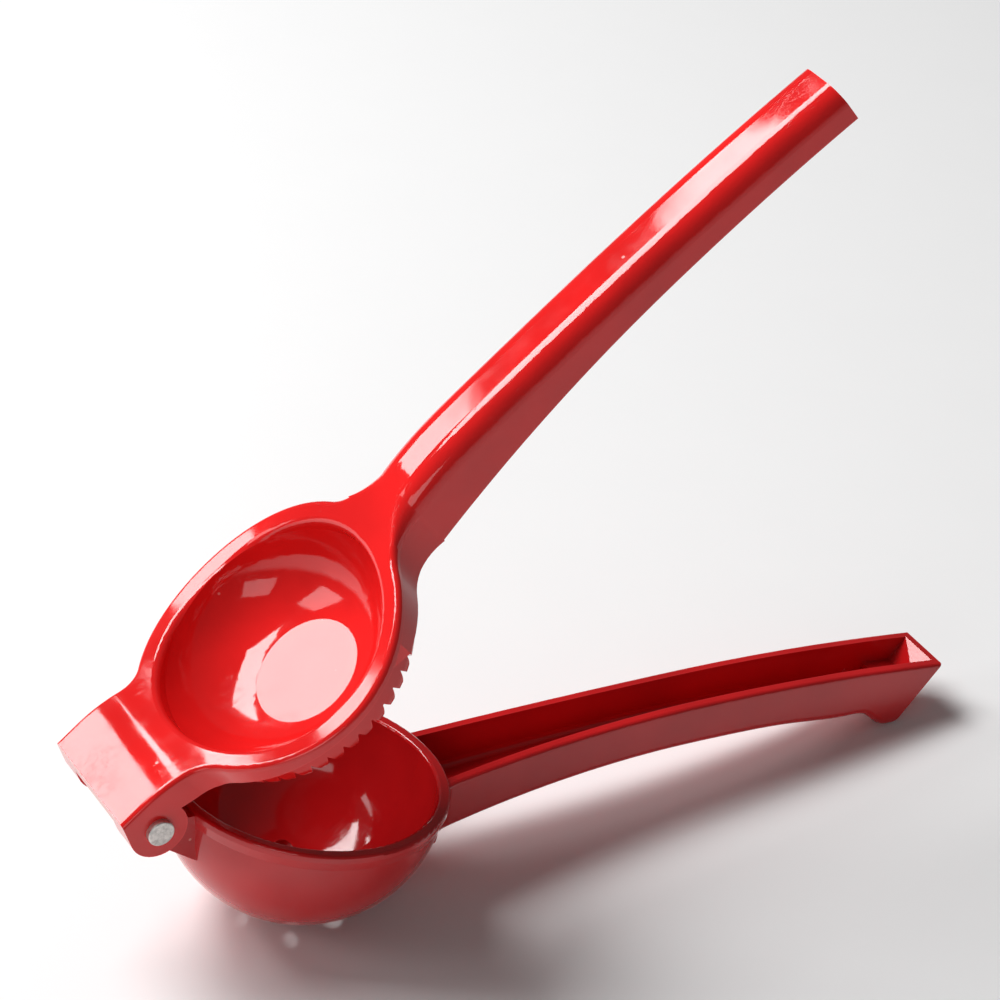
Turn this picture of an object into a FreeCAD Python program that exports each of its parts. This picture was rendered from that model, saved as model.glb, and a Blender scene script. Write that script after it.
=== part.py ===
import FreeCAD, Part
import math
import os
import re
import Sketcher

# Hinged lemon squeezer: two cast arms joined by one steel pin.
# The lower arm is drawn about the centre of its cup rim, the upper arm about the hinge axis,
# both with x toward the handle ends, y along the hinge axis and z up out of the cup.
# All sizes are in millimetres and degrees.

doc = FreeCAD.newDocument("lemon_squeezer")
sheet = doc.addObject("Spreadsheet::Sheet", "Sizes")

SIZES = (
    # Pose of the rebuilt part.
    ("opening", "47.4", "angle between the rim of the cup and the ring of the press"),
    ("origin_reach", "64.665", "middle of the whole length, beyond the middle of the cup"),
    # Cup.
    ("rim_overhang", "0.8", "rim lip beyond the outside of the cup"),
    ("cup_radius", "35", "outside of the cup"),
    ("cup_wall", "2.3", "wall of the cup"),
    ("cup_drop", "2.2", "centre of the cup below the rim level"),
    ("rim_top", "0.3", "top of the rim"),
    ("rim_lip", "1.9", "height of the rim lip"),
    ("rim_blend", "2.6", "height over which the lip runs into the cup"),
    ("rim_round", "0.8", "rounding of the rim edges"),
    ("drain_radius", "2.6", "each drain hole"),
    ("drain_ring", "13", "radius of the ring of drain holes"),
    # Hinge.
    ("hinge_outset", "13.5", "hinge axis beyond the outside of the cup"),
    ("hinge_rise", "3.2", "hinge axis above the rim level"),
    ("pin_radius", "3.3", "steel pin"),
    ("pin_proud", "1.5", "length of pin standing out of each ear"),
    ("pin_round", "0.35", "rounding of the pin ends"),
    ("pin_play", "0.06", "radial clearance of the pin in the lug"),
    ("lug_radius", "6.7", "barrel of the lug"),
    ("lug_half", "10", "half width of the lug"),
    ("lug_play", "0.3", "gap between the lug and the fork, all round"),
    ("lug_top", "3.8", "top of the lug below the hinge axis"),
    ("lug_start", "15", "angle below the level where the lug's barrel starts"),
    ("lug_rim_gap", "0.3", "step of the lug's top beyond the rim lip"),
    ("lug_reach", "20", "hinge axis to the inner end of the lug"),
    ("lug_foot_x", "15.8", "underside of the lug at the cup, from the hinge axis"),
    ("lug_foot_z", "16.4", "underside of the lug at the cup, below the hinge axis"),
    # Lower handle.
    ("low_run", "152.2", "length of the lower handle beyond the cup, at its top"),
    ("low_half", "8.3", "half width of the lower handle"),
    ("low_flare", "2.5", "extra half width of the lower handle at the cup"),
    ("low_flare_from", "10", "station where the flare is full, beyond the cup"),
    ("low_flare_run", "65", "length over which the flare fades"),
    ("low_root_round", "6", "plan rounding between the cup and the lower handle"),
    ("low_crest_back", "24.2", "highest station of the top edges, before the end"),
    ("low_crest_z", "9.5", "height of the top edges there"),
    ("low_top_radius", "700", "curve of the top edges"),
    ("low_belly_back", "45.2", "highest station of the underside, before the end"),
    ("low_belly_z", "3.8", "depth of the underside there"),
    ("low_belly_radius", "441", "curve of the underside"),
    ("low_wall", "2.5", "side wall of the lower channel"),
    ("low_floor", "2.6", "floor of the lower channel"),
    ("low_edge", "0.9", "rounding of the top edges"),
    ("low_under", "2.5", "rounding of the underside"),
    ("lobe_depth", "8.7", "lowest point of the end lobe"),
    ("lobe_back", "13.2", "station of the lobe, before the end"),
    ("lobe_round", "4.6", "rounding of the lobe's heel"),
    ("heel_slope", "0.64", "slant of the end face, x per z"),
    ("end_wall", "2", "thickness of the slanted end wall along the arm"),
    ("shelf_z", "2.9", "top of the shelf over the lobe"),
    ("shelf_length", "9", "length of the shelf"),
    # Press ring.
    ("ring_inset", "0.1", "press ring inside the rim lip"),
    ("ring_dip_outset", "0.5", "lowest station of the top face beyond the middle of the bowl"),
    ("ring_under", "2.2", "underside of the ring below the hinge axis"),
    ("ring_dip_z", "0.55", "height of the top face there"),
    ("ring_dip_radius", "100", "hollow curve of the top face"),
    ("ring_edge", "1.3", "rounding of the top outline"),
    ("lip_lower_edge", "0.35", "rounding of the lower edges where the ring runs into the handle"),
    ("lip_depth", "2.9", "height of the ring's edge where the handle begins"),
    ("neck_round", "9", "plan rounding between block and ring"),
    ("root_round", "14", "plan rounding between ring and handle"),
    # Hinge block.
    ("ear_over", "0.6", "ears beyond the barrel of the lug"),
    ("fork_back", "0.72", "height of the fork's back shoulder, as a share of its radius"),
    ("fork_front", "4", "angle below the level where the fork's hollow opens forward"),
    ("ear_front", "2.4", "angle above the level where the round of the ears ends"),
    ("block_half", "17.9", "half width of the hinge block"),
    ("block_top", "8.9", "top of the block above the hinge axis"),
    ("block_crest", "2", "station where the top starts to fall"),
    ("block_end", "4.8", "top edge of the block's end behind the hinge axis"),
    ("neck_step_x", "11", "corner of the neck's underside"),
    ("neck_step_z", "0.8", "depth of that corner"),
    ("neck_flat_x", "17", "station where the neck's underside is flat"),
    # Press bowl.
    ("skirt_clearance", "1.4", "gap between the press skirt and the inside of the cup"),
    ("skirt_wall", "1.3", "wall between the bowl's mouth and the press skirt"),
    ("skirt_sweep", "72", "angle of the skirt's rounding"),
    ("bowl_lip", "0.4", "height where the wall of the bowl turns upright"),
    ("bowl_depth", "14", "bottom of the bowl below the hinge axis"),
    ("bowl_flat", "13.8", "radius of the flat bottom"),
    ("bowl_curve", "18.6", "curve of the wall of the bowl"),
    ("bowl_round", "1.8", "rounding of the mouth"),
    ("skirt_depth", "9.7", "end of the straight skirt below the hinge axis"),
    ("skirt_round", "3.5", "rounding of the skirt"),
    ("dome_depth", "17.2", "bottom of the press dome"),
    ("dome_flat", "11", "radius of the flat of the dome"),
    ("dome_curve", "40", "curve of the dome"),
    ("tooth_root", "8.6", "top of the notches below the hinge axis"),
    ("tooth_reach", "4.7", "length of the notches from the skirt inward"),
    ("tooth_width", "3.95", "width of a notch at the tips"),
    # Upper handle.
    ("up_run", "145.8", "length of the upper handle beyond the ring"),
    ("up_half", "8.2", "half width of the upper handle"),
    ("up_crest_run", "34", "highest station of the top, beyond the ring"),
    ("up_crest_z", "12.35", "height of the top there"),
    ("up_drop", "4.3", "fall of the top from there to the end"),
    ("up_belly_run", "84", "highest station of the lower edges, beyond the ring"),
    ("up_belly_z", "0.55", "height of the lower edges there"),
    ("up_belly_inner", "373", "curve of the lower edges toward the ring"),
    ("up_belly_outer", "633", "curve of the lower edges toward the end"),
    ("up_root_inset", "0.2", "start of the handle inside the outline of the ring"),
    ("up_round", "5.2", "rounding of the top edges"),
    ("up_under", "0.7", "rounding of the lower edges"),
    ("up_wall", "2.4", "side wall of the upper channel"),
    ("up_roof", "2.8", "roof of the upper channel"),
    ("up_end_wall", "3", "end wall of the upper handle"),
    ("collar_inset", "0.8", "wall under the ring inside the outline of the ring"),
    ("lip_end_margin", "0.8", "height of the lip below its rounding at the handle"),
    ("level_margin", "0.6", "height left below the rounding of the handle's top"),
    ("collar_angle", "53", "half angle of that wall"),
    ("collar_depth", "4.7", "foot of that wall at the middle of the bowl"),
    ("root_depth", "6", "foot of that wall at the handle"),
)
# Sizes that follow from others, so that parts that meet keep meeting.
DERIVED = {
    "rim_radius": "(cup_radius + rim_overhang)",
    "hinge_reach": "(cup_radius + hinge_outset)",
    "ring_radius": "(rim_radius - ring_inset)",
    "ring_dip_x": "(hinge_reach + ring_dip_outset)",
    "up_root_x": "(hinge_reach + ring_radius - up_root_inset)",
    "low_end": "(cup_radius + low_run)",
    "low_flare_start": "(cup_radius + low_flare_from)",
    "low_flare_end": "(low_flare_start + low_flare_run)",
    "low_crest_x": "(low_end - low_crest_back)",
    "low_belly_x": "(low_end - low_belly_back)",
    "lobe_x": "(low_end - lobe_back)",
    "up_end": "(up_root_x + up_run)",
    "up_crest_x": "(up_root_x + up_crest_run)",
    "up_belly_x": "(up_root_x + up_belly_run)",
    "collar_radius": "(ring_radius - collar_inset)",
    "skirt_radius": "(cup_radius - cup_wall - skirt_clearance)",
    "bowl_radius": "(skirt_radius - skirt_wall)",
    "tooth_inner": "(skirt_radius - tooth_reach)",
    "ear_radius": "(lug_radius + ear_over)",
}
TOOTH_PITCH = 8.125
TEETH_EACH_SIDE = 17
DRAIN_COUNT = 6

for row, (name, value, note) in enumerate(SIZES, start=1):
    sheet.set("A%d" % row, name)
    sheet.set("B%d" % row, value)
    sheet.set("C%d" % row, note)
    sheet.setAlias("B%d" % row, name)
doc.recompute()

def any_of(names):
    return re.compile(r"\b(" + "|".join(sorted(names, key=len, reverse=True)) + r")\b")


SIZE_WORDS = any_of(entry[0] for entry in SIZES)
DERIVED_WORDS = any_of(DERIVED)


def bound(text):
    """The text with derived sizes spelled out and every size name pointing at the sheet."""
    while DERIVED_WORDS.search(text):
        text = DERIVED_WORDS.sub(lambda found: DERIVED[found.group(1)], text)
    return SIZE_WORDS.sub(r"Sizes.\1", text)


def number(text):
    value = sheet.evalExpression(bound(text))
    return float(getattr(value, "Value", value))


def plane(body, role):
    return [item for item in body.Origin.OriginFeatures if item.Role == role][0]


def attached(body, name, role, offset=None):
    sketch = body.newObject("Sketcher::SketchObject", name)
    sketch.AttachmentSupport = (plane(body, role), [""])
    sketch.MapMode = "FlatFace"
    if offset:
        axis, text = offset
        sketch.setExpression("AttachmentOffset.Base." + axis, bound(text))
    return sketch


def pin_point(sketch, geometry, end, x_text, y_text):
    """Hold one point of a sketch at sheet-driven coordinates."""
    index = sketch.addConstraint(Sketcher.Constraint("DistanceX", -1, 1, geometry, end, number(x_text)))
    sketch.setExpression("Constraints[%d]" % index, bound(x_text))
    index = sketch.addConstraint(Sketcher.Constraint("DistanceY", -1, 1, geometry, end, number(y_text)))
    sketch.setExpression("Constraints[%d]" % index, bound(y_text))


def arc_between(start, end, radius, side):
    """Arc from start to end; side +1 keeps the centre on the left of the chord."""
    chord = end.sub(start)
    half = chord.Length / 2
    reach = math.sqrt(max(radius * radius - half * half, 0.0))
    left = FreeCAD.Vector(-chord.y, chord.x, 0).normalize()
    centre = (start + end) * 0.5 + left * (reach * side)
    first = math.atan2(start.y - centre.y, start.x - centre.x)
    last = math.atan2(end.y - centre.y, end.x - centre.x)
    return centre, first, last


def loop(sketch, path):
    """Closed outline. Each entry is (x, y) or (x, y, radius, turn, bulge).

    The extra values describe the arc that leads from that point to the next one:
    turn +1 runs counter-clockwise, -1 clockwise; bulge -1 takes the arc past a half circle.
    """
    points = [FreeCAD.Vector(number(item[0]), number(item[1]), 0) for item in path]
    made = []
    for position, item in enumerate(path):
        start = points[position]
        end = points[(position + 1) % len(path)]
        if len(item) == 2:
            made.append((sketch.addGeometry(Part.LineSegment(start, end), False), 1, 2))
            continue
        radius, turn, bulge = number(item[2]), item[3], item[4] if len(item) > 4 else 1
        centre, first, last = arc_between(start, end, radius, turn * bulge)
        circle = Part.Circle(centre, FreeCAD.Vector(0, 0, 1), radius)
        if turn > 0:
            arc = Part.ArcOfCircle(circle, first, last)
            made.append((sketch.addGeometry(arc, False), 1, 2))
        else:
            arc = Part.ArcOfCircle(circle, last, first)
            made.append((sketch.addGeometry(arc, False), 2, 1))
        index = sketch.addConstraint(Sketcher.Constraint("Radius", made[-1][0], radius))
        sketch.setExpression("Constraints[%d]" % index, bound(item[2]))
    for position, item in enumerate(path):
        geometry, start, end = made[position]
        after, after_start, _ = made[(position + 1) % len(path)]
        sketch.addConstraint(Sketcher.Constraint("Coincident", geometry, end, after, after_start))
    for position, item in enumerate(path):
        pin_point(sketch, made[position][0], made[position][1], item[0], item[1])


def disc(sketch, x_text, y_text, radius_text):
    centre = FreeCAD.Vector(number(x_text), number(y_text), 0)
    circle = Part.Circle(centre, FreeCAD.Vector(0, 0, 1), number(radius_text))
    geometry = sketch.addGeometry(circle, False)
    index = sketch.addConstraint(Sketcher.Constraint("Radius", geometry, number(radius_text)))
    sketch.setExpression("Constraints[%d]" % index, bound(radius_text))
    pin_point(sketch, geometry, 3, x_text, y_text)


def section(body, name, station, half, top, bottom, top_round, bottom_round):
    """Rounded rectangle across the arm at one station."""
    sketch = attached(body, name, "YZ_Plane", ("z", station))
    low, high = "(%s)" % bottom, "(%s)" % top
    width, small, large = "(%s)" % half, "(%s)" % bottom_round, "(%s)" % top_round
    loop(sketch, (
        ("-" + width + "+" + small, low),
        (width + "-" + small, low, small, 1),
        (width, low + "+" + small),
        (width, high + "-" + large, large, 1),
        (width + "-" + large, high),
        ("-" + width + "+" + large, high, large, 1),
        ("-" + width, high + "-" + large),
        ("-" + width, low + "+" + small, small, 1),
    ))
    return sketch


def loft(body, name, kind, sections):
    feature = body.newObject("PartDesign::" + kind, name)
    feature.Profile = sections[0]
    feature.Sections = sections[1:]
    feature.Ruled = False
    feature.Closed = False
    doc.recompute()
    return feature


def pad(body, name, sketch, length):
    feature = body.newObject("PartDesign::Pad", name)
    feature.Profile = sketch
    feature.setExpression("Length", bound(length))
    feature.Midplane = True
    doc.recompute()
    return feature


def pocket(body, name, sketch, length):
    feature = body.newObject("PartDesign::Pocket", name)
    feature.Profile = sketch
    feature.setExpression("Length", bound(length))
    feature.Midplane = True
    doc.recompute()
    return feature


def turned(body, name, kind, sketch):
    feature = body.newObject("PartDesign::" + kind, name)
    feature.Profile = sketch
    feature.ReferenceAxis = (sketch, ["V_Axis"])
    feature.Angle = 360
    doc.recompute()
    return feature


def around(body, name, original, sketch, count):
    feature = body.newObject("PartDesign::PolarPattern", name)
    feature.Originals = [original]
    feature.Axis = (sketch, ["V_Axis"])
    feature.Angle = 360
    feature.Occurrences = count
    body.Tip = feature
    doc.recompute()
    return feature


def fillet(body, name, base, chosen, size):
    """Round the edges of base for which chosen(edge) holds."""
    names = ["Edge%d" % (i + 1) for i, edge in enumerate(base.Shape.Edges) if chosen(edge)]
    feature = body.newObject("PartDesign::Fillet", name)
    feature.Base = (base, names)
    feature.setExpression("Radius", bound(size))
    doc.recompute()
    return feature


def new_body(name):
    body = doc.addObject("PartDesign::Body", name)
    body.Label = name
    doc.recompute()
    return body


# Lower arm.
lower = new_body("lower_arm")

LOW_TOP = "low_crest_z - (low_crest_x - ({x}))^2 / (2 * low_top_radius)"
LOW_UNDER = "-low_belly_z - (low_belly_x - ({x}))^2 / (2 * low_belly_radius)"
LOW_FLARED = "low_half + low_flare * ((low_flare_end - ({x})) / (low_flare_end - low_flare_start))^2"

ROOT_WIDTH = "(low_half + low_flare + 1.1)"
RIM_FOOT = "(rim_radius - 0.5)"
LOW_ROOT_X = "sqrt((" + RIM_FOOT + " + low_root_round)^2 - (" + ROOT_WIDTH + " + low_root_round)^2)"
LOW_TOUCH_X = LOW_ROOT_X + " * " + RIM_FOOT + " / (" + RIM_FOOT + " + low_root_round)"
low_root = []
for name, share in (("a", "1"), ("b", "0.8"), ("c", "0.6"), ("d", "0.3"), ("e", "0")):
    back = share + " * (" + LOW_ROOT_X + " - " + LOW_TOUCH_X + ")"
    place = "(" + LOW_ROOT_X + " - " + back + ")"
    sweep = " + low_root_round - sqrt(low_root_round^2 - (" + back + ")^2)"
    half = "(" + LOW_FLARED.format(x=place) + sweep + ")"
    low_root.append(section(lower, "root_section_" + name, place, half, LOW_TOP.format(x=place),
                            LOW_UNDER.format(x=place), "low_edge", "low_under"))
low_root_loft = loft(lower, "lower_root", "AdditiveLoft", low_root)

# Stations of the lower handle: name, place, flared, depth of the lobe there.
LOW_STATIONS = (
    ("a", LOW_ROOT_X, True, None),
    ("b", "low_flare_start + 2", True, None),
    ("c", "low_flare_start + 12", True, None),
    ("d", "low_flare_start + 25", True, None),
    ("e", "low_flare_start + 40", True, None),
    ("f", "low_flare_end - 10", True, None),
    ("g", "low_flare_end + 10", False, None),
    ("h", "low_belly_x", False, None),
    ("i", "lobe_x - 14", False, None),
    ("j", "lobe_x - 8.5", False, None),
    ("k", "lobe_x - 5", False, "-lobe_depth + 0.45 * (lobe_depth - low_belly_z)"),
    ("l", "lobe_x - 2", False, "-lobe_depth + 0.06 * (lobe_depth - low_belly_z)"),
    ("m", "lobe_x + 2", False, "-lobe_depth"),
    ("n", "lobe_x + 6", False, "-lobe_depth"),
    ("o", "lobe_x + 10", False, "-lobe_depth"),
    ("p", "low_end + 2", False, "-lobe_depth"),
)
outer = []
for name, place, flared, lobe in LOW_STATIONS:
    half = (LOW_FLARED if flared else "low_half").format(x=place)
    under = lobe or LOW_UNDER.format(x=place)
    outer.append(section(lower, "handle_section_" + name, place, half, LOW_TOP.format(x=place), under,
                         "low_edge", "low_under"))
handle = loft(lower, "lower_handle", "AdditiveLoft", outer)

heel = attached(lower, "heel_outline", "XZ_Plane")
LEAN = "sqrt(1 + heel_slope^2)"
HEEL_X = "(low_end + heel_slope * (-lobe_depth - low_crest_z) - lobe_round * (" + LEAN + " - heel_slope))"
loop(heel, (
    ("low_end + heel_slope * 8", "low_crest_z + 8"),
    (HEEL_X + " + lobe_round / " + LEAN, "-lobe_depth + lobe_round - lobe_round * heel_slope / " + LEAN,
     "lobe_round", -1),
    (HEEL_X, "-lobe_depth"),
    (HEEL_X, "-lobe_depth - 10"),
    ("low_end + 20", "-lobe_depth - 10"),
    ("low_end + 20", "low_crest_z + 8"),
))
heel_cut = pocket(lower, "heel", heel, "4 * low_half")

inner = []
for name, place, flared, lobe in LOW_STATIONS[:9]:
    if name == "a":
        place = "low_flare_start - 15"
    if name == "i":
        place = "low_end - end_wall - shelf_length - 4"
    half = "(" + (LOW_FLARED if flared else "low_half").format(x=place) + ") - low_wall"
    inner.append(section(lower, "channel_section_" + name, place, half, LOW_TOP.format(x=place) + " + 8",
                         LOW_UNDER.format(x=place) + " + low_floor", "low_edge", "1.6"))
channel = loft(lower, "lower_channel", "SubtractiveLoft", inner)

shelf = attached(lower, "shelf_outline", "XZ_Plane")
SHELF_END = "low_end - end_wall + heel_slope * ({z} - low_crest_z)"
loop(shelf, (
    ("low_end - end_wall - shelf_length - 6", "shelf_z"),
    (SHELF_END.format(z="shelf_z"), "shelf_z"),
    (SHELF_END.format(z="(low_crest_z + 6)"), "low_crest_z + 6"),
    ("low_end - end_wall - shelf_length - 6", "low_crest_z + 6"),
))
shelf_cut = pocket(lower, "shelf", shelf, "2 * (low_half - low_wall)")

cup = attached(lower, "cup_outline", "XZ_Plane")
BLEND_Z = "(rim_top - rim_lip - rim_blend)"
BLEND_R = "sqrt(cup_radius^2 - (" + BLEND_Z + " + cup_drop)^2)"
loop(cup, (
    ("0", "-cup_drop - cup_radius", "cup_radius", 1),
    (BLEND_R, BLEND_Z),
    ("rim_radius", "rim_top - rim_lip"),
    ("rim_radius", "rim_top - rim_round", "rim_round", 1),
    ("rim_radius - rim_round", "rim_top"),
    ("0", "rim_top"),
))
cup_body = turned(lower, "cup", "Revolution", cup)

lug = attached(lower, "lug_outline", "XZ_Plane")
LUG_FROM = "(-lug_start)"
FOOT = "sqrt(lug_foot_x^2 + lug_foot_z^2)"
LUG_TO = "(asin(lug_radius / " + FOOT + ") - atan(lug_foot_z / lug_foot_x) - 90 deg)"
loop(lug, (
    ("-hinge_reach + lug_radius * cos(%s)" % LUG_TO, "hinge_rise + lug_radius * sin(%s)" % LUG_TO),
    ("-hinge_reach + lug_foot_x", "hinge_rise - lug_foot_z"),
    ("-hinge_reach + lug_reach", "hinge_rise - lug_foot_z - 2"),
    ("-hinge_reach + lug_reach", "hinge_rise - lug_top"),
    ("-rim_radius - lug_rim_gap", "hinge_rise - lug_top"),
    ("-hinge_reach + lug_radius * cos(%s)" % LUG_FROM, "hinge_rise + lug_radius * sin(%s)" % LUG_FROM,
     "lug_radius", 1, -1),
))
lug_pad = pad(lower, "lug", lug, "2 * lug_half")

cup_room = attached(lower, "cup_room_outline", "XZ_Plane")
INNER = "(cup_radius - cup_wall)"
MOUTH = "sqrt(" + INNER + "^2 - (rim_top - rim_round + cup_drop)^2)"
loop(cup_room, (
    ("0", "-cup_drop - " + INNER, INNER, 1),
    (MOUTH, "rim_top - rim_round", "rim_round", -1),
    (MOUTH + " + rim_round", "rim_top"),
    (MOUTH + " + rim_round", "rim_top + 14"),
    ("0", "rim_top + 14"),
))
cup_cut = turned(lower, "cup_room", "Groove", cup_room)

bore = attached(lower, "bore_outline", "XZ_Plane")
BORE = "(pin_radius + pin_play)"
disc(bore, "-hinge_reach", "hinge_rise", BORE)
bore_cut = pocket(lower, "bore", bore, "4 * lug_half")

drain = attached(lower, "drain_outline", "XY_Plane")
disc(drain, "drain_ring", "0", "drain_radius")
drain_cut = pocket(lower, "drain", drain, "4 * cup_radius")
drains = around(lower, "drains", drain_cut, cup, DRAIN_COUNT)

# Upper arm.
upper = new_body("upper_arm")

GUSSET_X = "(hinge_reach + sqrt((collar_radius + root_round)^2 - (up_half + root_round)^2))"
ROOT_X = "(hinge_reach + sqrt((ring_radius + root_round)^2 - (up_half + root_round)^2))"
NECK_X = "(hinge_reach - sqrt((ring_radius + neck_round)^2 - (block_half + neck_round)^2))"
DIP_CENTRE = "(ring_dip_z + ring_dip_radius)"
RING_TOP = "(" + DIP_CENTRE + " - sqrt(ring_dip_radius^2 - (({x}) - ring_dip_x)^2))"
UNDER_RADIUS = "(ring_dip_radius + ring_dip_z + ring_under)"
RING_UNDER = "(" + DIP_CENTRE + " - sqrt(" + UNDER_RADIUS + "^2 - (({x}) - ring_dip_x)^2))"
ROOT_TOP = RING_TOP.format(x="up_root_x")
UP_TOP_INNER = ("up_crest_z - (up_crest_z - " + ROOT_TOP
                + ") * ((up_crest_x - ({x})) / (up_crest_x - up_root_x))^2.5")
UP_TOP_OUTER = "up_crest_z - up_drop * ((({x}) - up_crest_x) / (up_end - up_crest_x))^2.6"
UP_UNDER_INNER = "up_belly_z - (up_belly_x - ({x}))^2 / (2 * up_belly_inner)"
GUSSET_HALF = "(up_half - 0.05)"
TOUCH = "collar_radius / (collar_radius + root_round)"
GUSSET_TX = "hinge_reach + (" + GUSSET_X + " - hinge_reach) * " + TOUCH
GUSSET_TY = "(up_half + root_round) * " + TOUCH
COLLAR_X = "hinge_reach + collar_radius * cos(collar_angle)"
COLLAR_Y = "collar_radius * sin(collar_angle)"
COLLAR_IN_X = "hinge_reach + (skirt_radius - 1) * cos(collar_angle + 12)"
COLLAR_IN_Y = "(skirt_radius - 1) * sin(collar_angle + 12)"
UP_UNDER_OUTER = "up_belly_z - (up_belly_x - ({x}))^2 / (2 * up_belly_outer)"


def trim(body, name, path):
    """Cut away everything outside a plan outline."""
    sketch = attached(body, name + "_outline", "XY_Plane")
    loop(sketch, path)
    loop(sketch, (("-30", "-60"), ("300", "-60"), ("300", "60"), ("-30", "60")))
    return pocket(body, name, sketch, "200")


gusset = attached(upper, "gusset_outline", "XZ_Plane")
loop(gusset, (
    ("hinge_reach", "-collar_depth"),
    ("up_root_x", "-root_depth"),
    (ROOT_X, UP_UNDER_INNER.format(x=ROOT_X)),
    (ROOT_X, "block_top"),
    ("hinge_reach", "block_top"),
))
gusset_pad = pad(upper, "gusset", gusset, "2 * ring_radius")
gusset_trim = trim(upper, "gusset_plan", (
    (COLLAR_IN_X, "-" + COLLAR_IN_Y),
    (COLLAR_X, "-" + COLLAR_Y, "collar_radius", 1),
    (GUSSET_TX, "-" + GUSSET_TY, "root_round", -1),
    (GUSSET_X, "-" + GUSSET_HALF),
    ("up_root_x + 20", "-" + GUSSET_HALF),
    ("up_root_x + 20", GUSSET_HALF),
    (GUSSET_X, GUSSET_HALF, "root_round", -1),
    (GUSSET_TX, GUSSET_TY, "collar_radius", 1),
    (COLLAR_X, COLLAR_Y),
    (COLLAR_IN_X, COLLAR_IN_Y),
))

skirt = attached(upper, "skirt_outline", "XZ_Plane", ("x", "hinge_reach"))
DOME_R = "(skirt_radius - skirt_round + skirt_round * cos(-skirt_sweep))"
DOME_Z = "(-skirt_depth + skirt_round * sin(-skirt_sweep))"
loop(skirt, (
    ("0", "-dome_depth"),
    ("dome_flat", "-dome_depth", "dome_curve", 1),
    (DOME_R, DOME_Z, "skirt_round", 1),
    ("skirt_radius", "-skirt_depth"),
    ("skirt_radius", "block_top"),
    ("0", "block_top"),
))
skirt_body = turned(upper, "skirt", "Revolution", skirt)

level = attached(upper, "level_outline", "XZ_Plane")
LEVEL_RADIUS = "(" + UNDER_RADIUS + " - 1)"
loop(level, (
    ("0", "1 - ring_under"),
    ("ring_dip_x", "1 - ring_under", LEVEL_RADIUS, 1),
    ("up_root_x", DIP_CENTRE + " - sqrt(" + LEVEL_RADIUS + "^2 - (up_root_x - ring_dip_x)^2)"),
    (ROOT_X, UP_TOP_INNER.format(x=ROOT_X) + " - up_round - level_margin"),
    (ROOT_X + " + 5", "1.5 * block_top"),
    ("0", "1.5 * block_top"),
))
level_cut = pocket(upper, "level", level, "3 * skirt_radius")

notch = attached(upper, "notch_outline", "YZ_Plane", ("z", "hinge_reach - skirt_radius - 1"))
loop(notch, (
    ("0", "-tooth_root"),
    ("-tooth_width / 2 * 1.3", "-tooth_root - 1.3 * (skirt_depth + skirt_round - tooth_root)"),
    ("tooth_width / 2 * 1.3", "-tooth_root - 1.3 * (skirt_depth + skirt_round - tooth_root)"),
))
notch_cut = upper.newObject("PartDesign::Pocket", "notch")
notch_cut.Profile = notch
notch_cut.setExpression("Length", bound("skirt_radius + 1 - tooth_inner"))
notch_cut.Midplane = False
notch_cut.Reversed = True
doc.recompute()
if notch_cut.Shape.Volume >= level_cut.Shape.Volume:
    raise RuntimeError("the first notch removes nothing")
teeth = []
for name, reverse in (("teeth_near", False), ("teeth_far", True)):
    pattern = upper.newObject("PartDesign::PolarPattern", name)
    pattern.Originals = [notch_cut]
    pattern.Axis = (skirt, ["V_Axis"])
    pattern.Angle = TOOTH_PITCH * (TEETH_EACH_SIDE - 1)
    pattern.Reversed = reverse
    pattern.Occurrences = TEETH_EACH_SIDE
    upper.Tip = pattern
    doc.recompute()
    teeth.append(pattern)

plate = attached(upper, "plate_outline", "XZ_Plane")
DX = "(ring_dip_x - block_crest)"
DZ = "(" + DIP_CENTRE + " - block_top)"
CROWN = "((" + DX + "^2 + " + DZ + "^2 - ring_dip_radius^2) / (2 * (ring_dip_radius - " + DZ + ")))"
SHARE = CROWN + " / (ring_dip_radius + " + CROWN + ")"
END_REACH = "sqrt(block_end^2 + block_top^2)"
END_ANGLE = "(90 deg + atan(block_end / block_top) + acos(ear_radius / " + END_REACH + "))"
NOTCH_ANGLE = "ear_front"
loop(plate, (
    ("-block_end", "block_top"),
    ("ear_radius * cos(%s)" % END_ANGLE, "ear_radius * sin(%s)" % END_ANGLE, "ear_radius", 1, -1),
    ("ear_radius * cos(%s)" % NOTCH_ANGLE, "ear_radius * sin(%s)" % NOTCH_ANGLE),
    ("neck_step_x", "-neck_step_z"),
    ("neck_flat_x", "-ring_under"),
    ("ring_dip_x", "-ring_under", UNDER_RADIUS, 1),
    ("up_root_x", RING_UNDER.format(x="up_root_x")),
    ("up_root_x", ROOT_TOP, "ring_dip_radius", -1),
    ("block_crest + " + DX + " * " + SHARE,
     "block_top - " + CROWN + " + (" + DZ + " + " + CROWN + ") * " + SHARE, CROWN, 1),
    ("block_crest", "block_top"),
))
plate_pad = pad(upper, "plate", plate, "2 * ring_radius + 4")
RING_TOUCH = "ring_radius / (ring_radius + root_round)"
RING_TX = "hinge_reach + (" + ROOT_X + " - hinge_reach) * " + RING_TOUCH
RING_TY = "(up_half + root_round) * " + RING_TOUCH
NECK_TOUCH = "ring_radius / (ring_radius + neck_round)"
NECK_TX = "hinge_reach - (hinge_reach - " + NECK_X + ") * " + NECK_TOUCH
NECK_TY = "(block_half + neck_round) * " + NECK_TOUCH
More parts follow.
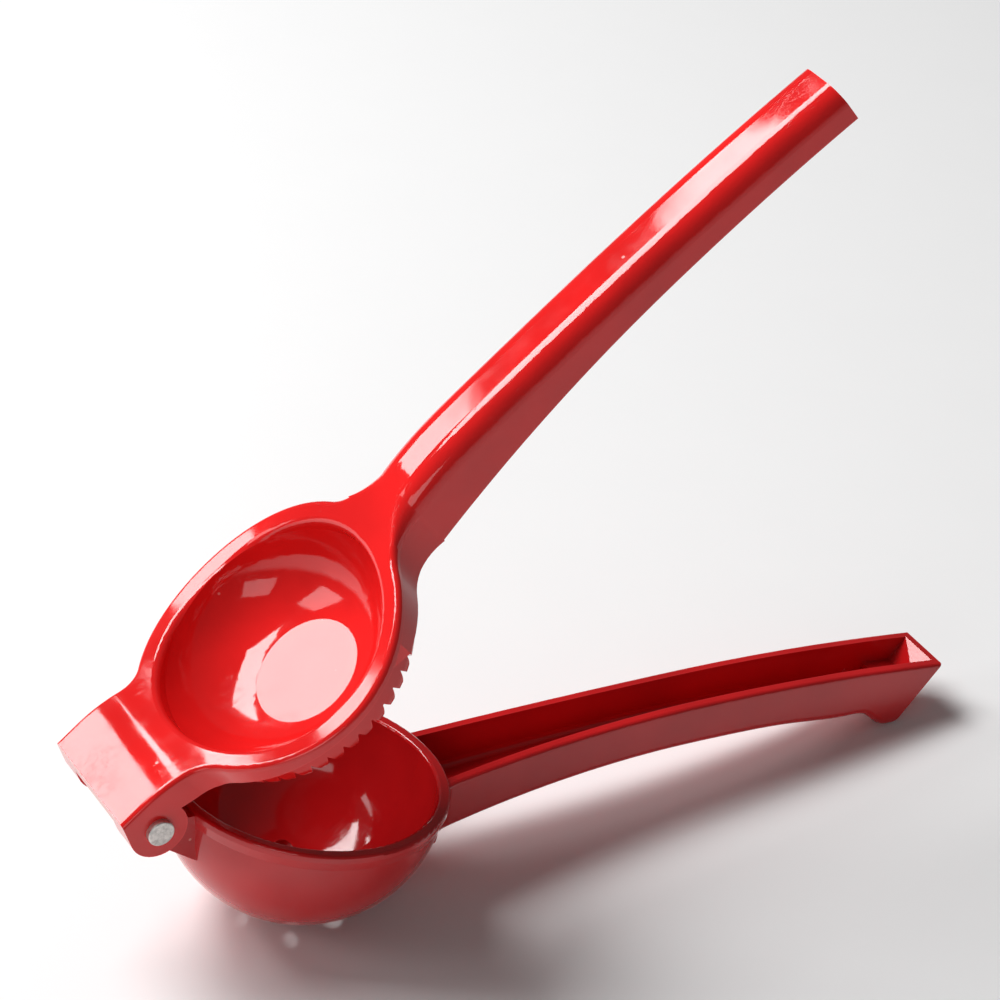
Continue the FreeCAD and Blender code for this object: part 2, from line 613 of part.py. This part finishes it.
plate_trim = trim(upper, "plate_plan", (
    ("-20", "-block_half"),
    (NECK_X, "-block_half", "neck_round", -1),
    (NECK_TX, "-" + NECK_TY, "ring_radius", 1),
    (RING_TX, "-" + RING_TY, "root_round", -1),
    (ROOT_X, "-up_half"),
    (ROOT_X + " + 20", "-up_half"),
    (ROOT_X + " + 20", "up_half"),
    (ROOT_X, "up_half", "root_round", -1),
    (RING_TX, RING_TY, "ring_radius", 1),
    (NECK_TX, NECK_TY, "neck_round", -1),
    (NECK_X, "block_half"),
    ("-20", "block_half"),
))


def near_axis(point, axis_x, radius, slack=0.05):
    return abs(math.hypot(point.x - axis_x, point.y) - radius) < slack


def samples(edge):
    return [edge.valueAt(value) for value in (
        edge.FirstParameter + (edge.LastParameter - edge.FirstParameter) * share
        for share in (0.1, 0.5, 0.9))]


BLOCK_END = -number("block_end")
ROOT = number("up_root_x")
CREST = number("block_crest")
JOIN = number("block_crest + " + DX + " * " + SHARE)
BLOCK_TOP = number("block_top")
CROWN_RADIUS = number(CROWN)


def plate_top(x):
    if x < CREST:
        return BLOCK_TOP
    if x < JOIN:
        return BLOCK_TOP - CROWN_RADIUS + math.sqrt(CROWN_RADIUS ** 2 - (x - CREST) ** 2)
    return number(RING_TOP.format(x="%r" % x))


def on_top_outline(edge):
    points = samples(edge)
    if any(point.x > ROOT - 0.01 for point in points[1:2]):
        return False
    return all(abs(point.z - plate_top(point.x)) < 0.02 for point in points) and (
        max(point.x for point in points) - min(point.x for point in points) > 0.05)


top_round = fillet(upper, "top_edges", plate_trim, on_top_outline, "ring_edge")

# Stations of the lip that carries the ring's edge into the handle.
lip = []
for name, share in (("a", "0"), ("b", "0.2"), ("c", "0.4"), ("d", "0.6"), ("e", "0.8"), ("f", "1")):
    place = "(up_root_x + " + share + " * (" + ROOT_X + " - up_root_x))"
    half = "(up_half + root_round - sqrt(root_round^2 - (" + ROOT_X + " - " + place + ")^2))"
    top = UP_TOP_INNER.format(x=place)
    depth = "(lip_depth + " + share + " * (up_round + lip_end_margin - lip_depth))"
    lip.append(section(upper, "lip_section_" + name, place, half, top, top + " - " + depth,
                       "ring_edge + " + share + " * (up_round - ring_edge)", "lip_lower_edge"))
lip_loft = loft(upper, "lip", "AdditiveLoft", lip)

# Stations of the upper handle: name, place, before the crest, before the belly.
UP_STATIONS = (
    ("a", ROOT_X, True, True),
    ("b", "up_root_x + 13", True, True),
    ("c", "up_root_x + 19", True, True),
    ("d", "up_root_x + 26", True, True),
    ("e", "up_crest_x", True, True),
    ("f", "up_crest_x + 17", False, True),
    ("g", "up_crest_x + 34", False, True),
    ("h", "up_belly_x", False, True),
    ("i", "up_belly_x + 17", False, False),
    ("j", "up_belly_x + 34", False, False),
    ("k", "up_belly_x + 49", False, False),
    ("l", "up_end", False, False),
)
grip = []
for name, place, rising, inner_side in UP_STATIONS:
    top = (UP_TOP_INNER if rising else UP_TOP_OUTER).format(x=place)
    under = (UP_UNDER_INNER if inner_side else UP_UNDER_OUTER).format(x=place)
    grip.append(section(upper, "grip_section_" + name, place, "up_half", top, under, "up_round", "up_under"))
grip_loft = loft(upper, "grip", "AdditiveLoft", grip)

trough = []
for name, place, rising, inner_side in UP_STATIONS:
    if name == "a":
        place = "up_root_x - 1"
    if name == "l":
        place = "up_end - up_end_wall"
    top = (UP_TOP_INNER if rising else UP_TOP_OUTER).format(x=place)
    trough.append(section(upper, "trough_section_" + name, place, "(up_half - up_wall)", top + " - up_roof",
                          "-2 * root_depth", "up_round - up_wall", "up_under"))
trough_loft = loft(upper, "trough", "SubtractiveLoft", trough)

bowl = attached(upper, "bowl_outline", "XZ_Plane", ("x", "hinge_reach"))
loop(bowl, (
    ("0", "-bowl_depth"),
    ("bowl_flat", "-bowl_depth", "bowl_curve", 1),
    ("bowl_radius", "bowl_lip"),
    ("bowl_radius", "2 * block_top"),
    ("0", "2 * block_top"),
))
bowl_cut = turned(upper, "bowl", "Groove", bowl)
bowl_mouth = fillet(upper, "mouth", bowl_cut, lambda edge: all(
    near_axis(point, number("hinge_reach"), number("bowl_radius")) and point.z > number("bowl_lip") + 0.05
    for point in samples(edge)) and abs(samples(edge)[0].z - samples(edge)[1].z) > 0.02, "bowl_round")

fork = attached(upper, "fork_outline", "XZ_Plane")
FORK = "(lug_radius + lug_play)"
loop(fork, (
    ("-sqrt(" + FORK + "^2 - (fork_back * " + FORK + ")^2)", "fork_back * " + FORK, FORK, -1),
    (FORK + " * cos(-fork_front)", FORK + " * sin(-fork_front)"),
    (FORK + " + 2", "-ring_under"),
    (FORK + " + 2", "-2 * ear_radius"),
    ("-2 * ear_radius", "-2 * ear_radius"),
    ("-2 * ear_radius", "fork_back * " + FORK),
))
fork_cut = pocket(upper, "fork", fork, "2 * (lug_half + lug_play)")

eye = attached(upper, "eye_outline", "XZ_Plane")
disc(eye, "0", "0", "pin_radius")
eye_cut = pocket(upper, "eye", eye, "4 * block_half")

# Pin.
pin = new_body("hinge_pin")
rod = attached(pin, "rod_outline", "XZ_Plane")
disc(rod, "0", "0", "pin_radius")
rod_pad = pad(pin, "rod", rod, "2 * (block_half + pin_proud)")
fillet(pin, "rod_ends", rod_pad, lambda edge: all(
    abs(abs(point.y) - number("block_half + pin_proud")) < 0.01 for point in samples(edge)), "pin_round")

# The lower arm stands on the cup and on the lobe, so its rim tips forward by this angle.
# The origin is on the ground, under the middle of the whole part's length.
LOBE_Z = "(lobe_round - lobe_depth)"
LOBE_X = HEEL_X
TIP_REACH = "sqrt(" + LOBE_X + "^2 + (" + LOBE_Z + " + cup_drop)^2)"
TILT = ("(asin((cup_radius - lobe_round) / " + TIP_REACH + ") + atan((" + LOBE_Z + " + cup_drop) / "
        + LOBE_X + "))")
HEIGHT = "(cup_radius + cup_drop * cos(" + TILT + "))"
lower.Placement = FreeCAD.Placement(
    FreeCAD.Vector(0, 0, 0), FreeCAD.Rotation(FreeCAD.Vector(0, 1, 0), number(TILT)))
lower.setExpression("Placement.Rotation.Angle", bound(TILT))
lower.setExpression("Placement.Base.x", bound("-origin_reach"))
lower.setExpression("Placement.Base.z", bound(HEIGHT))
lift = "(opening * 1 deg - " + TILT + ")"
for body in (upper, pin):
    body.Placement = FreeCAD.Placement(
        FreeCAD.Vector(0, 0, 0), FreeCAD.Rotation(FreeCAD.Vector(0, -1, 0), number(lift)))
    body.setExpression("Placement.Rotation.Angle", bound(lift))
    body.setExpression("Placement.Base.x", bound(
        "hinge_rise * sin(" + TILT + ") - hinge_reach * cos(" + TILT + ") - origin_reach"))
    body.setExpression("Placement.Base.z", bound(
        "hinge_reach * sin(" + TILT + ") + hinge_rise * cos(" + TILT + ") + " + HEIGHT))
doc.recompute()

faults = [item.Name for item in doc.Objects if "Invalid" in item.State or "Error" in item.State]
if faults:
    raise RuntimeError("faulty objects: " + ", ".join(faults))
os.makedirs("parts", exist_ok=True)
for body in (lower, upper, pin):
    if body.Shape.isNull() or not body.Shape.isValid() or len(body.Shape.Solids) != 1:
        raise RuntimeError("bad shape: " + body.Label)
    body.Shape.exportStep("parts/" + body.Label + ".step")
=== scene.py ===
import math

import bpy
from bpy.props import FloatProperty, FloatVectorProperty, PointerProperty
from mathutils import Matrix, Vector


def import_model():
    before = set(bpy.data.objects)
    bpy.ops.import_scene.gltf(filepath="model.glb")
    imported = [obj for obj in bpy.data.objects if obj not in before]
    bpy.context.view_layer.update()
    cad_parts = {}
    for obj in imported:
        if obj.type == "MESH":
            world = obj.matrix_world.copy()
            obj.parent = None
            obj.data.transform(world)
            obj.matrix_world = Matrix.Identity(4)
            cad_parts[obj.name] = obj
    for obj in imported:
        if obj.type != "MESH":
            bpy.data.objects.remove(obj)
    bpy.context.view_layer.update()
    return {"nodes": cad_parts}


bl_info = {
    "name": "Lemon squeezer looks",
    "version": (1, 0, 0),
    "blender": (4, 5, 0),
    "location": "View3D > Sidebar > Squeezer",
    "description": "Enamel, steel, floor, lights and camera for the hinged lemon squeezer",
    "category": "Object",
}

NODES = {}

# All lengths are in metres. The middle of the cup stands at this x.
CUP_X = -0.064665
RIM_CENTRE = Vector((CUP_X, 0.0, 0.03717))

# Camera of the photograph, as the view's azimuth, elevation and roll in degrees, its focal
# length in pixels of a square image and the place of the cup's rim centre in that image.
IMAGE = 1000
SENSOR = 36.0
VIEW_AZIMUTH = -32.617
VIEW_ELEVATION = 33.561
VIEW_ROLL = -4.169
VIEW_FOCAL = 3800.0
VIEW_DISTANCE = 0.908247
VIEW_U = 304.088
VIEW_V = 770.594
CLIP_START = 0.01

FLOOR_SIZE = 6.0
FLOOR_COLOUR = (0.93, 0.93, 0.93, 1.0)
FLOOR_SHADE = 0.985
FLOOR_NOISE = 40.0
FLOOR_ROUGHNESS = 0.85

# What the softboxes face, and each one's name, place from the middle of the cup, width and
# height, and the setting that holds its power.
LIT_POINT = (CUP_X + 0.03, 0.0, 0.09)
SOFTBOXES = (
    ("key", (-0.52, 0.68, 1.34), (1.00, 0.62), "key_power"),
    ("window", (-0.72, 1.13, 0.84), (0.40, 0.36), "window_power"),
    ("side", (-0.82, 0.30, 0.40), (0.34, 0.34), "side_power"),
    ("fill", (-0.60, -0.66, 0.36), (0.50, 0.30), "fill_power"),
)

# Enamel: shares of the red in its clouds, its pale specks and its surface.
DEEP_SHARE = 0.86
FULL_SHARE = 1.06
THIN_SHARE = 1.25
THIN_LIFT = 0.02
THIN_AMOUNT = 0.5
CLOUD_NOISE = 32.0
ENAMEL_EDGE = 0.0007
SPECK_SCALE = 230.0
SPECK_SHARE = 0.035
SPECK_COLOUR = (0.85, 0.42, 0.38, 1.0)
SPECK_AMOUNT = 0.55
SPECK_ROUGHNESS = 0.4
GLOSS_NOISE = 150.0
GLOSS_SPREAD = (0.7, 1.7)
ENAMEL_IOR = 1.52
COAT_WEIGHT = 0.1
COAT_ROUGHNESS = 0.04
RIPPLE_NOISE = 55.0
GRAIN_NOISE = 900.0
GRAIN_HEIGHT = 0.0000012
MARK_HEIGHT = 0.00003
LINE_DEPTH = 0.25

# Hairlines: angle and noise scale of each of the three directions.
HAIRLINES = ((0.5, 26.0), (-0.7, 34.0), (1.3, 30.0))
HAIRLINE_STRETCH = (1.0, 14.0, 14.0)
HAIRLINE_WIDTH = 0.006
HAIRLINE_PATCHES = 45.0

# Steel of the pin.
BLOTCH_NOISE = 420.0
PIT_SCALE = 900.0
STEEL_EDGE = 0.0004
STEEL_DARK = 0.62
STEEL_PALE = 1.25
STEEL_WORN = (0.95, 0.93, 0.9, 1.0)
STEEL_WORN_AMOUNT = 0.5
STEEL_METALLIC = 0.85
BLOTCH_HEIGHT = 0.00006
PIT_DEPTH = 0.00004


class SqueezerSettings(bpy.types.PropertyGroup):
    upper_red: FloatVectorProperty(
        name="Press arm red", description="Enamel of the press arm", subtype="COLOR", size=4,
        min=0.0, max=1.0, default=(0.76, 0.013, 0.013, 1.0))
    # The cup arm's red: the same enamel as the press arm, set darker as painted shade.
    cup_red_painted_shade: FloatVectorProperty(
        name="Cup arm red", description="Enamel of the cup arm", subtype="COLOR", size=4,
        min=0.0, max=1.0, default=(0.56, 0.009, 0.011, 1.0))
    gloss: FloatProperty(
        name="Roughness", description="Roughness of the enamel's clear surface",
        min=0.0, max=1.0, default=0.07)
    ripple: FloatProperty(
        name="Ripple", description="Height of the enamel's slow ripple", unit="LENGTH",
        default=0.00006)
    steel: FloatVectorProperty(
        name="Steel", description="Colour of the hinge pin", subtype="COLOR", size=4,
        min=0.0, max=1.0, default=(0.66, 0.63, 0.60, 1.0))
    key_power: FloatProperty(
        name="Key light", description="Power of the large softbox above and behind", default=25.0)
    window_power: FloatProperty(
        name="Low light", description="Power of the low softbox behind the hinge", default=4.5)
    fill_power: FloatProperty(
        name="Fill light", description="Power of the low softbox in front", default=0.9)
    world_power: FloatProperty(
        name="Surroundings", description="Strength of the plain surroundings", default=0.09)
    side_power: FloatProperty(
        name="Side light", description="Power of the softbox beside the hinge", default=1.2)


def new_group(name, inputs, output):
    """Node group with float inputs, given as name and default, and one float output."""
    group = bpy.data.node_groups.new(name, "ShaderNodeTree")
    for label, value in inputs:
        socket = group.interface.new_socket(
            name=label, in_out="INPUT", socket_type="NodeSocketFloat")
        socket.default_value = value
    group.interface.new_socket(name=output, in_out="OUTPUT", socket_type="NodeSocketFloat")
    enter = group.nodes.new("NodeGroupInput")
    leave = group.nodes.new("NodeGroupOutput")
    return group, enter, leave


def add(tree, kind, **values):
    node = tree.nodes.new(kind)
    for key, value in values.items():
        setattr(node, key, value)
    return node


def math_node(tree, operation, first, second=None):
    node = add(tree, "ShaderNodeMath", operation=operation)
    for socket, value in zip(node.inputs, (first, second)):
        if value is None:
            continue
        if isinstance(value, (int, float)):
            socket.default_value = value
        else:
            tree.links.new(value, socket)
    return node.outputs[0]


def ramp(tree, value, low, high, start=0.0, end=1.0):
    node = add(tree, "ShaderNodeMapRange", clamp=True, interpolation_type="SMOOTHSTEP")
    tree.links.new(value, node.inputs["Value"])
    node.inputs["From Min"].default_value = low
    node.inputs["From Max"].default_value = high
    node.inputs["To Min"].default_value = start
    node.inputs["To Max"].default_value = end
    return node.outputs["Result"]


def noise(tree, vector, scale, detail=3.0, roughness=0.5):
    node = add(tree, "ShaderNodeTexNoise")
    tree.links.new(vector, node.inputs["Vector"])
    node.inputs["Scale"].default_value = scale
    node.inputs["Detail"].default_value = detail
    node.inputs["Roughness"].default_value = roughness
    return node.outputs["Fac"]


def blend(tree, first, second, factor):
    """Mix two colours; each is a colour or the output of another node."""
    node = add(tree, "ShaderNodeMix", data_type="RGBA", blend_type="MIX")
    for label, value in (("A", first), ("B", second)):
        if isinstance(value, bpy.types.NodeSocket):
            tree.links.new(value, node.inputs[label])
        else:
            node.inputs[label].default_value = value
    tree.links.new(factor, node.inputs["Factor"])
    return node.outputs["Result"]


def shaded(colour, share, lift=0.0):
    return [min(1.0, share * value + lift) for value in colour[:3]] + [1.0]


def new_material(name):
    """Material with its node tree, its shader and the object's own coordinates."""
    material = bpy.data.materials.new(name)
    material.use_nodes = True
    tree = material.node_tree
    place = add(tree, "ShaderNodeTexCoord")
    return material, tree, tree.nodes["Principled BSDF"], place.outputs["Object"]


def raise_surface(tree, shader, height):
    bump = add(tree, "ShaderNodeBump")
    bump.inputs["Distance"].default_value = 1.0
    bump.inputs["Strength"].default_value = 1.0
    tree.links.new(height, bump.inputs["Height"])
    tree.links.new(bump.outputs["Normal"], shader.inputs["Normal"])


def dust_group():
    """Sparse pale specks: dust and pinholes in the enamel."""
    group, enter, leave = new_group("dust", (("Scale", 220.0), ("Amount", 0.04)), "Mask")
    place = add(group, "ShaderNodeTexCoord")
    cells = add(group, "ShaderNodeTexVoronoi", feature="F1")
    group.links.new(place.outputs["Object"], cells.inputs["Vector"])
    group.links.new(enter.outputs["Scale"], cells.inputs["Scale"])
    dot = ramp(group, cells.outputs["Distance"], 0.05, 0.12, 1.0, 0.0)
    separate = add(group, "ShaderNodeSeparateColor")
    group.links.new(cells.outputs["Color"], separate.inputs["Color"])
    chosen = math_node(group, "LESS_THAN", separate.outputs["Red"], enter.outputs["Amount"])
    group.links.new(math_node(group, "MULTIPLY", dot, chosen), leave.inputs["Mask"])
    return group


def wear_group():
    """Edges where the finish thins: a mask from the bevelled normal."""
    group, enter, leave = new_group("thin_edges", (("Radius", 0.0006),), "Mask")
    bevel = add(group, "ShaderNodeBevel", samples=4)
    group.links.new(enter.outputs["Radius"], bevel.inputs["Radius"])
    surface = add(group, "ShaderNodeNewGeometry")
    dot = add(group, "ShaderNodeVectorMath", operation="DOT_PRODUCT")
    group.links.new(bevel.outputs["Normal"], dot.inputs[0])
    group.links.new(surface.outputs["Normal"], dot.inputs[1])
    mask = ramp(group, dot.outputs["Value"], 0.80, 0.995, 1.0, 0.0)
    group.links.new(mask, leave.inputs["Mask"])
    return group


def scratch_group():
    """Fine hairlines in three directions, in patches."""
    group, enter, leave = new_group("scratches", (("Amount", 0.5),), "Height")
    place = add(group, "ShaderNodeTexCoord")
    total = None
    for angle, scale in HAIRLINES:
        turn = add(group, "ShaderNodeMapping")
        turn.inputs["Rotation"].default_value = (0.3 * angle, angle, 0.6 * angle)
        turn.inputs["Scale"].default_value = HAIRLINE_STRETCH
        group.links.new(place.outputs["Object"], turn.inputs["Vector"])
        grain = noise(group, turn.outputs["Vector"], scale, 2.0, 0.4)
        offset = math_node(group, "ABSOLUTE", math_node(group, "SUBTRACT", grain, 0.5))
        line = ramp(group, offset, 0.0, HAIRLINE_WIDTH, 1.0, 0.0)
        total = line if total is None else math_node(group, "MAXIMUM", total, line)
    patch = ramp(group, noise(group, place.outputs["Object"], HAIRLINE_PATCHES, 2.0), 0.55, 0.72)
    kept = math_node(group, "MULTIPLY", total, patch)
    height = math_node(group, "MULTIPLY", kept, enter.outputs["Amount"])
    group.links.new(height, leave.inputs["Height"])
    return group


def group_node(tree, group, **values):
    node = add(tree, "ShaderNodeGroup", node_tree=group)
    for key, value in values.items():
        node.inputs[key.capitalize()].default_value = value
    return node.outputs[0]


def enamel(name, red, settings, effects):
    """Glossy enamel on cast metal, thin at the edges, with slow ripple, specks and hairlines."""
    material, tree, shader, where = new_material(name)
    edge = group_node(tree, effects["thin_edges"], radius=ENAMEL_EDGE)
    dust = group_node(tree, effects["dust"], scale=SPECK_SCALE, amount=SPECK_SHARE)
    lines = group_node(tree, effects["scratches"], amount=1.0)

    clouds = ramp(tree, noise(tree, where, CLOUD_NOISE), 0.3, 0.7)
    colour = blend(tree, shaded(red, DEEP_SHARE), shaded(red, FULL_SHARE), clouds)
    colour = blend(tree, colour, shaded(red, THIN_SHARE, THIN_LIFT),
                   math_node(tree, "MULTIPLY", edge, THIN_AMOUNT))
    colour = blend(tree, colour, SPECK_COLOUR, math_node(tree, "MULTIPLY", dust, SPECK_AMOUNT))
    tree.links.new(colour, shader.inputs["Base Color"])

    low, high = (share * settings.gloss for share in GLOSS_SPREAD)
    rough = ramp(tree, noise(tree, where, GLOSS_NOISE, 4.0), 0.35, 0.75, low, high)
    specks = math_node(tree, "MULTIPLY", dust, SPECK_ROUGHNESS)
    tree.links.new(math_node(tree, "ADD", rough, specks), shader.inputs["Roughness"])
    shader.inputs["IOR"].default_value = ENAMEL_IOR
    shader.inputs["Coat Weight"].default_value = COAT_WEIGHT
    shader.inputs["Coat Roughness"].default_value = COAT_ROUGHNESS

    slow = noise(tree, where, RIPPLE_NOISE, 2.0, 0.4)
    slow = math_node(tree, "MULTIPLY", slow, settings.ripple)
    grain = math_node(tree, "MULTIPLY", noise(tree, where, GRAIN_NOISE, 2.0), GRAIN_HEIGHT)
    marks = math_node(tree, "SUBTRACT", dust, math_node(tree, "MULTIPLY", lines, LINE_DEPTH))
    marks = math_node(tree, "MULTIPLY", marks, MARK_HEIGHT)
    height = math_node(tree, "ADD", math_node(tree, "ADD", slow, grain), marks)
    raise_surface(tree, shader, height)
    return material


def steel(name, colour, effects):
    """Pale worn steel with blotches, pits and bright edges."""
    material, tree, shader, where = new_material(name)
    blotch = noise(tree, where, BLOTCH_NOISE, 5.0, 0.65)
    pits = add(tree, "ShaderNodeTexVoronoi", feature="F1")
    pits.inputs["Scale"].default_value = PIT_SCALE
    tree.links.new(where, pits.inputs["Vector"])
    pit = ramp(tree, pits.outputs["Distance"], 0.12, 0.42, 1.0, 0.0)
    edge = group_node(tree, effects["thin_edges"], radius=STEEL_EDGE)

    tone = blend(tree, shaded(colour, STEEL_DARK), shaded(colour, STEEL_PALE),
                 ramp(tree, blotch, 0.3, 0.65))
    tone = blend(tree, tone, STEEL_WORN, math_node(tree, "MULTIPLY", edge, STEEL_WORN_AMOUNT))
    tree.links.new(tone, shader.inputs["Base Color"])
    shader.inputs["Metallic"].default_value = STEEL_METALLIC
    tree.links.new(ramp(tree, blotch, 0.2, 0.8, 0.32, 0.6), shader.inputs["Roughness"])

    height = math_node(tree, "SUBTRACT", math_node(tree, "MULTIPLY", blotch, BLOTCH_HEIGHT),
                       math_node(tree, "MULTIPLY", pit, PIT_DEPTH))
    raise_surface(tree, shader, height)
    return material


def floor_material():
    material, tree, shader, where = new_material("floor_paper")
    colour = blend(tree, shaded(FLOOR_COLOUR, FLOOR_SHADE), FLOOR_COLOUR,
                   noise(tree, where, FLOOR_NOISE))
    tree.links.new(colour, shader.inputs["Base Color"])
    shader.inputs["Roughness"].default_value = FLOOR_ROUGHNESS
    return material


def effect_groups():
    made = {group.name: group for group in bpy.data.node_groups}
    builders = (("dust", dust_group), ("thin_edges", wear_group), ("scratches", scratch_group))
    for name, build in builders:
        if name not in made:
            made[name] = build()
    return made


def coat(node, material):
    """Give a CAD node its finish; its mesh and place stay as they are."""
    target = NODES[node]
    if not target.material_slots:
        target.data.materials.append(material)
    for entry in target.material_slots:
        entry.link = "OBJECT"
        entry.material = material


class SQUEEZER_OT_lower_arm(bpy.types.Operator):
    """Enamel the cup arm"""
    bl_idname = "squeezer.lower_arm"
    bl_label = "Cup arm"

    def execute(self, context):
        settings = context.scene.squeezer
        # The cup arm's enamel takes the darker red, which is painted shade.
        coat("lower_arm", enamel("lower_enamel", settings.cup_red_painted_shade, settings, effect_groups()))
        return {"FINISHED"}


class SQUEEZER_OT_upper_arm(bpy.types.Operator):
    """Enamel the press arm"""
    bl_idname = "squeezer.upper_arm"
    bl_label = "Press arm"

    def execute(self, context):
        settings = context.scene.squeezer
        coat("upper_arm", enamel("upper_enamel", settings.upper_red, settings, effect_groups()))
        return {"FINISHED"}


class SQUEEZER_OT_hinge_pin(bpy.types.Operator):
    """Finish the hinge pin in worn steel"""
    bl_idname = "squeezer.hinge_pin"
    bl_label = "Hinge pin"

    def execute(self, context):
        settings = context.scene.squeezer
        coat("hinge_pin", steel("pin_steel", settings.steel, effect_groups()))
        return {"FINISHED"}


def softbox(name, place, target, size, power):
    data = bpy.data.lights.new(name, "AREA")
    data.shape = "RECTANGLE"
    data.size, data.size_y = size
    data.energy = power
    obj = bpy.data.objects.new(name, data)
    bpy.context.scene.collection.objects.link(obj)
    obj.location = place
    direction = Vector(target) - obj.location
    obj.rotation_euler = direction.to_track_quat("-Z", "Y").to_euler()


def photo_camera():
    """Camera at the angle, distance and frame of the photograph."""
    azimuth, elevation, roll = map(math.radians, (VIEW_AZIMUTH, VIEW_ELEVATION, VIEW_ROLL))
    back = Vector((math.sin(azimuth) * math.cos(elevation),
                   -math.cos(azimuth) * math.cos(elevation), math.sin(elevation)))
    level = Vector((math.cos(azimuth), math.sin(azimuth), 0.0))
    upright = back.cross(level)
    right = math.cos(roll) * level - math.sin(roll) * upright
    up = math.sin(roll) * level + math.cos(roll) * upright
    step = VIEW_DISTANCE / VIEW_FOCAL
    place = (back * VIEW_DISTANCE - right * ((VIEW_U - IMAGE / 2) * step)
             + up * ((VIEW_V - IMAGE / 2) * step) + RIM_CENTRE)
    data = bpy.data.cameras.new("camera")
    data.sensor_width = SENSOR
    data.lens = VIEW_FOCAL * SENSOR / IMAGE
    data.clip_start = CLIP_START
    data.dof.use_dof = False
    obj = bpy.data.objects.new("camera", data)
    bpy.context.scene.collection.objects.link(obj)
    obj.matrix_world = Matrix((
        (right.x, up.x, back.x, place.x), (right.y, up.y, back.y, place.y),
        (right.z, up.z, back.z, place.z), (0.0, 0.0, 0.0, 1.0)))
    bpy.context.scene.camera = obj


class SQUEEZER_OT_stage(bpy.types.Operator):
    """Floor, surroundings, softboxes and camera"""
    bl_idname = "squeezer.stage"
    bl_label = "Stage"

    def execute(self, context):
        settings = context.scene.squeezer
        mesh = bpy.data.meshes.new("floor")
        half = FLOOR_SIZE / 2
        corners = [(-half, -half, 0), (half, -half, 0), (half, half, 0), (-half, half, 0)]
        mesh.from_pydata(corners, [], [(0, 1, 2, 3)])
        floor = bpy.data.objects.new("floor", mesh)
        context.scene.collection.objects.link(floor)
        mesh.materials.append(floor_material())

        world = bpy.data.worlds.new("studio")
        context.scene.world = world
        world.use_nodes = True
        backdrop = world.node_tree.nodes["Background"]
        backdrop.inputs["Color"].default_value = (1.0, 1.0, 1.0, 1.0)
        backdrop.inputs["Strength"].default_value = settings.world_power

        for name, (x, y, z), size, power in SOFTBOXES:
            softbox(name, (CUP_X + x, y, z), LIT_POINT, size, getattr(settings, power))
        photo_camera()
        context.scene.view_settings.view_transform = "Standard"
        return {"FINISHED"}


class SQUEEZER_PT_panel(bpy.types.Panel):
    bl_idname = "SQUEEZER_PT_panel"
    bl_label = "Lemon squeezer"
    bl_space_type = "VIEW_3D"
    bl_region_type = "UI"
    bl_category = "Squeezer"

    def draw(self, context):
        for name in SqueezerSettings.__annotations__:
            self.layout.prop(context.scene.squeezer, name)
        for operator in OPERATORS:
            self.layout.operator(operator.bl_idname)


OPERATORS = (
    SQUEEZER_OT_lower_arm, SQUEEZER_OT_upper_arm, SQUEEZER_OT_hinge_pin, SQUEEZER_OT_stage)
CLASSES = (SqueezerSettings, *OPERATORS, SQUEEZER_PT_panel)


def register():
    for item in CLASSES:
        bpy.utils.register_class(item)
    bpy.types.Scene.squeezer = PointerProperty(type=SqueezerSettings)


def unregister():
    del bpy.types.Scene.squeezer
    for item in reversed(CLASSES):
        bpy.utils.unregister_class(item)


def main():
    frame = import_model()
    NODES.update(frame["nodes"])
    register()
    bpy.ops.squeezer.lower_arm()
    bpy.ops.squeezer.upper_arm()
    bpy.ops.squeezer.hinge_pin()
    bpy.ops.squeezer.stage()


if __name__ == "__main__":
    main()
